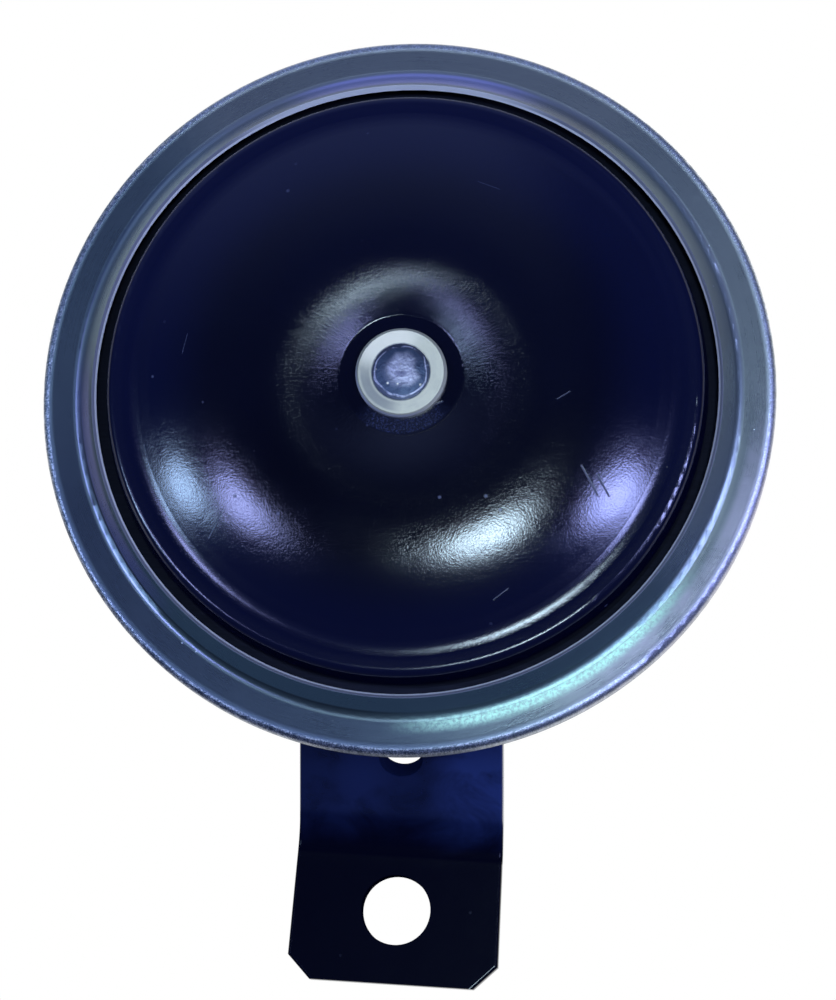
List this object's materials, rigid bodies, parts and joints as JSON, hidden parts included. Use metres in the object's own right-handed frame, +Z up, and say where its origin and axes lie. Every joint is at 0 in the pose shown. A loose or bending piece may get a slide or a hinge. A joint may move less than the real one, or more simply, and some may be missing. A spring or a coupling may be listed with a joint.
{
  "type": "car horn",
  "caption": "12 V disc horn, 90 mm, crimped zinc ring, dished tone disc with a sprung striking armature, and a painted strap bracket with an 8.5 mm fixing hole.",
  "frame": {"origin": "on the axis of the strap's lower fixing hole, at the strap's rear seating face", "axes": "+Z runs up the strap to the horn; the horn sounds towards -Y and the strap seats on its +Y face; +X is to the right of someone who faces the horn"},
  "size_m": [0.09, 0.0468, 0.1151],
  "materials": {
    "strap_paint": "smooth dark blue-black paint",
    "disc_paint": "glossy blue-black paint with orange peel",
    "body_paint": "plain black paint",
    "blue_zinc": "blue passivated zinc plate, burnished at the rim",
    "cream_zinc": "yellowed zinc plate",
    "bare_steel": "turned steel",
    "spring_steel": "rolled spring steel",
    "plated_steel": "zinc plate",
    "gasket_paper": "oiled gasket paper",
    "hard_paper": "laminated hard paper",
    "coil_plastic": "moulded nylon",
    "block_plastic": "moulded phenolic",
    "copper_wire": "enamelled copper wire",
    "brass": "brass, some with tin plate",
    "contact_metal": "tungsten contact"
  },
  "bodies": {
    "horn_body": {"housing": "body_paint", "clamp_ring": "blue_zinc", "front_gasket": "gasket_paper", "rear_gasket": "gasket_paper", "diaphragm": "spring_steel", "pole_core": "bare_steel", "coil_bobbin": "coil_plastic", "coil_winding": "copper_wire", "contact_bracket": "plated_steel", "bracket_rivet": "plated_steel", "contact_insulators": "hard_paper", "fixed_contact_arm": "brass", "fixed_contact_point": "contact_metal", "moving_contact_leaf": "spring_steel", "moving_contact_point": "contact_metal", "stack_rivets": "brass", "adjusting_insert": "brass", "adjusting_screw": "plated_steel", "terminal_block": "block_plastic", "terminal_inner_plate": "hard_paper", "terminal_blades": "brass", "terminal_rivets": "brass", "mounting_strap": "strap_paint", "flat_washer": "plated_steel", "spring_washer": "plated_steel", "strap_nut": "plated_steel"},
    "vibrating_group": {"armature": "bare_steel", "spacer_bush": "bare_steel", "front_washer": "plated_steel", "rear_washer": "plated_steel", "tone_disc": "disc_paint", "collar_ring": "cream_zinc"}
  },
  "joints": [
    {"name": "disc_stroke", "type": "slide", "parent": "horn_body", "child": "vibrating_group", "axis": [0, 1, 0], "range_m": [-0.0004, 0.0004], "stiffness_N_per_m": 50000, "deforming": ["diaphragm", "moving_contact_leaf"]}
  ]
}
